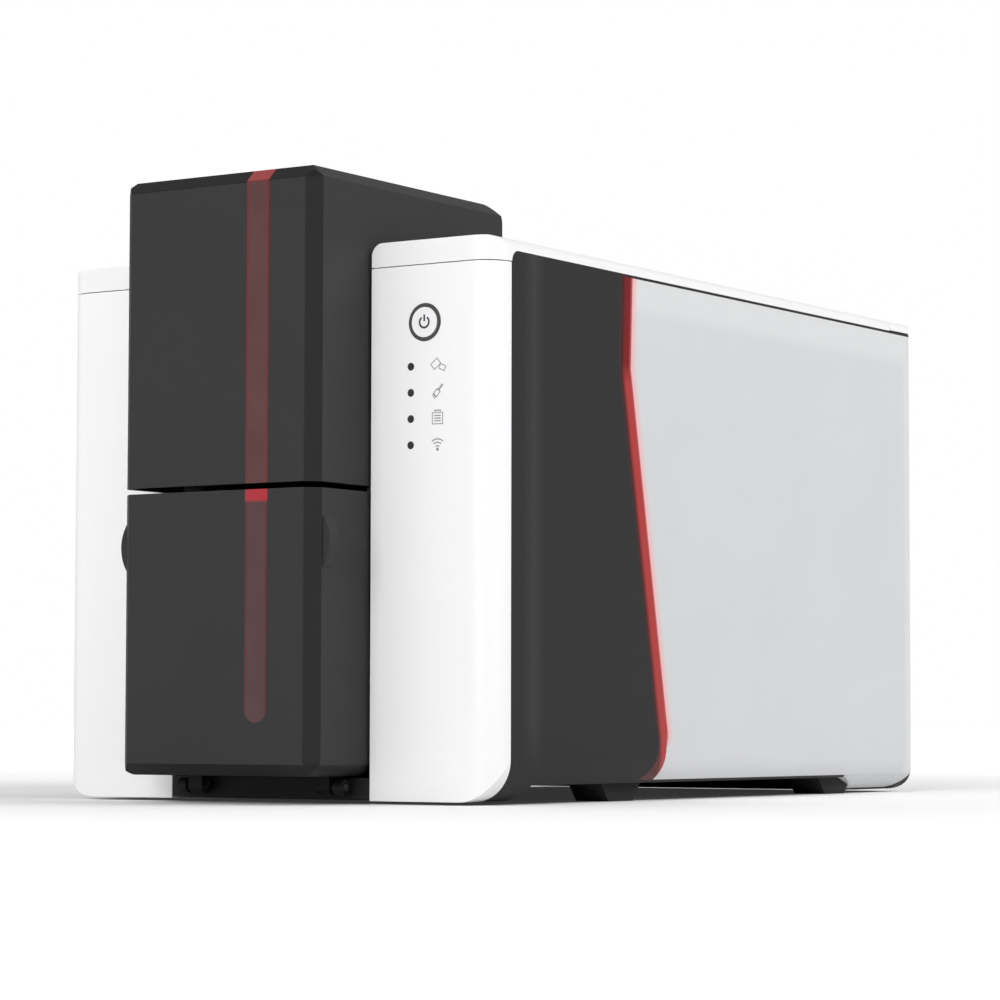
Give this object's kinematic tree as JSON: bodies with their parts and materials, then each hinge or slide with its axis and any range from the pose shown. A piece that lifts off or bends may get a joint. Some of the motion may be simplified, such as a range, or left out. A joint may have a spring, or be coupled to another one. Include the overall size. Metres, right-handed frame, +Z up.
{
  "type": "id card printer",
  "caption": "Desktop card printer with an upright card feeder and output hopper in front, a hinged top cover over ribbon and print head, and tilting doors.",
  "frame": {"origin": "centre of the printer's outline, on the table", "axes": "+X to the right seen from the front, +Y from the card tower to the back, +Z up"},
  "size_m": [0.207, 0.3874, 0.239],
  "materials": {
    "white_plastic": "smooth satin white moulding",
    "dark_plastic": "fine spark-eroded charcoal moulding",
    "black_plastic": "plain black moulding",
    "grey_inlay": "smooth pale grey",
    "red_trim": "satin red",
    "red_window": "dark red translucent plastic",
    "rubber": "moulded black rubber",
    "steel": "zinc plated sheet and ground shafts",
    "white_acetal": "natural acetal",
    "brass": "machined brass",
    "motor_black": "black painted steel",
    "circuit_board": "green solder mask",
    "blue_sticky": "tacky blue silicone",
    "ribbon_dark": "thin ribbon film",
    "ribbon_red": "wound ribbon",
    "cassette_grey": "grey moulding",
    "button_white": "satin white",
    "light_dark": "smoked light guide",
    "green_knob": "green moulding"
  },
  "bodies": {
    "casing": {"base_tray": "black_plastic", "rubber_feet": "rubber", "front_panel_left": "white_plastic", "front_panel_right": "white_plastic", "side_shell_left": "dark_plastic", "side_shell_right": "dark_plastic", "side_trim_left": "red_trim", "side_trim_right": "red_trim", "side_inlay_left": "grey_inlay", "side_inlay_right": "grey_inlay", "rear_panel": "dark_plastic", "rear_cap": "white_plastic", "frame_left": "steel", "frame_right": "steel", "frame_bars": "steel", "roller_bushes": "white_acetal", "card_magazine": "black_plastic", "output_tray": "black_plastic", "card_deck": "black_plastic", "main_board": "circuit_board", "rear_sockets": "steel", "drive_motor": "motor_black", "ribbon_motor": "steel", "drive_belt": "rubber", "ribbon_cassette": "cassette_grey", "ribbon_film": "ribbon_dark", "fan_housing": "black_plastic", "status_lights": "light_dark", "light_ring": "light_dark", "catch_clips": "steel"},
    "lid": {"lid": "white_plastic", "lid_hinge_pins": "steel", "head_bracket": "steel", "print_head": "steel"},
    "feeder_cover": {"feeder_cover": "dark_plastic", "feeder_window": "red_window", "cover_hinge_pin": "steel"},
    "hopper_door": {"hopper_door": "dark_plastic", "door_window": "red_window", "door_hinge_pin": "steel"},
    "card_pusher": {"card_pusher": "black_plastic"},
    "gauge_slide": {"gauge_slide": "green_knob"},
    "power_button": {"power_button": "button_white"},
    "feed_roller": {"feed_roller": "rubber", "feed_shaft": "steel"},
    "front_roller": {"front_roller": "rubber", "front_shaft": "steel"},
    "platen": {"platen_roller": "rubber", "platen_shaft": "steel", "platen_gear": "white_acetal"},
    "rear_roller": {"rear_roller": "rubber", "rear_shaft": "steel"},
    "motor_pinion": {"motor_pinion": "brass"},
    "front_pinch": {"front_pinch_roller": "white_acetal"},
    "rear_pinch": {"rear_pinch_roller": "white_acetal"},
    "cleaning_roller": {"cleaning_roller": "blue_sticky"},
    "supply_spool": {"supply_spool": "ribbon_red"},
    "take_up_spool": {"take_up_spool": "ribbon_dark"},
    "ribbon_pinion": {"ribbon_pinion": "brass"},
    "fan_rotor": {"fan_rotor": "black_plastic"}
  },
  "joints": [
    {"name": "lid_hinge", "type": "hinge", "parent": "casing", "child": "lid", "pos_m": [0, 0.17825, 0.2082], "axis": [-1, 0, 0], "range_deg": [0, 80]},
    {"name": "feeder_cover_hinge", "type": "hinge", "parent": "casing", "child": "feeder_cover", "pos_m": [0, -0.07435, 0.231], "axis": [-1, 0, 0], "range_deg": [0, 75]},
    {"name": "hopper_door_hinge", "type": "hinge", "parent": "casing", "child": "hopper_door", "pos_m": [0, -0.16275, 0.0063], "axis": [1, 0, 0], "range_deg": [0, 20]},
    {"name": "pusher_slide", "type": "slide", "parent": "casing", "child": "card_pusher", "axis": [0, 0, 1], "range_m": [0, 0.07]},
    {"name": "gauge_slide_travel", "type": "slide", "parent": "casing", "child": "gauge_slide", "axis": [0, 0, 1], "range_m": [0, 0.003]},
    {"name": "power_button_press", "type": "slide", "parent": "casing", "child": "power_button", "axis": [0, 1, 0], "range_m": [0, 0.0008], "stiffness_N_per_m": 1500},
    {"name": "platen_spin", "type": "hinge", "parent": "casing", "child": "platen", "pos_m": [0, 0.01625, 0.116], "axis": [1, 0, 0], "continuous": true},
    {"name": "feed_spin", "type": "hinge", "parent": "casing", "child": "feed_roller", "pos_m": [0, -0.11975, 0.116], "axis": [1, 0, 0], "continuous": true},
    {"name": "front_roller_spin", "type": "hinge", "parent": "casing", "child": "front_roller", "pos_m": [0, -0.04375, 0.116], "axis": [1, 0, 0], "continuous": true},
    {"name": "rear_roller_spin", "type": "hinge", "parent": "casing", "child": "rear_roller", "pos_m": [0, 0.09625, 0.116], "axis": [1, 0, 0], "continuous": true},
    {"name": "motor_spin", "type": "hinge", "parent": "casing", "child": "motor_pinion", "pos_m": [0, 0.01625, 0.0835], "axis": [1, 0, 0], "continuous": true},
    {"name": "front_pinch_spin", "type": "hinge", "parent": "casing", "child": "front_pinch", "pos_m": [0, -0.04375, 0.1313], "axis": [1, 0, 0], "continuous": true},
    {"name": "rear_pinch_spin", "type": "hinge", "parent": "casing", "child": "rear_pinch", "pos_m": [0, 0.09625, 0.1313], "axis": [1, 0, 0], "continuous": true},
    {"name": "cleaning_spin", "type": "hinge", "parent": "casing", "child": "cleaning_roller", "pos_m": [0, -0.06875, 0.1323], "axis": [1, 0, 0], "continuous": true},
    {"name": "take_up_spin", "type": "hinge", "parent": "casing", "child": "take_up_spool", "pos_m": [0, -0.01675, 0.158], "axis": [1, 0, 0], "continuous": true},
    {"name": "supply_spin", "type": "hinge", "parent": "casing", "child": "supply_spool", "pos_m": [0, 0.05625, 0.158], "axis": [1, 0, 0], "continuous": true},
    {"name": "ribbon_motor_spin", "type": "hinge", "parent": "casing", "child": "ribbon_pinion", "pos_m": [0, -0.01675, 0.13925], "axis": [1, 0, 0], "continuous": true},
    {"name": "fan_spin", "type": "hinge", "parent": "casing", "child": "fan_rotor", "pos_m": [-0.05, 0.18625, 0.11], "axis": [0, 1, 0], "continuous": true}
  ],
  "couplings": [
    {"joint": "feed_spin", "follows": "platen_spin", "ratio": 1},
    {"joint": "front_roller_spin", "follows": "platen_spin", "ratio": 1},
    {"joint": "rear_roller_spin", "follows": "platen_spin", "ratio": 1},
    {"joint": "motor_spin", "follows": "platen_spin", "ratio": -3.3333},
    {"joint": "front_pinch_spin", "follows": "platen_spin", "ratio": -1.5},
    {"joint": "rear_pinch_spin", "follows": "platen_spin", "ratio": -1.5},
    {"joint": "supply_spin", "follows": "take_up_spin", "ratio": 0.7268},
    {"joint": "ribbon_motor_spin", "follows": "take_up_spin", "ratio": -1.5}
  ]
}
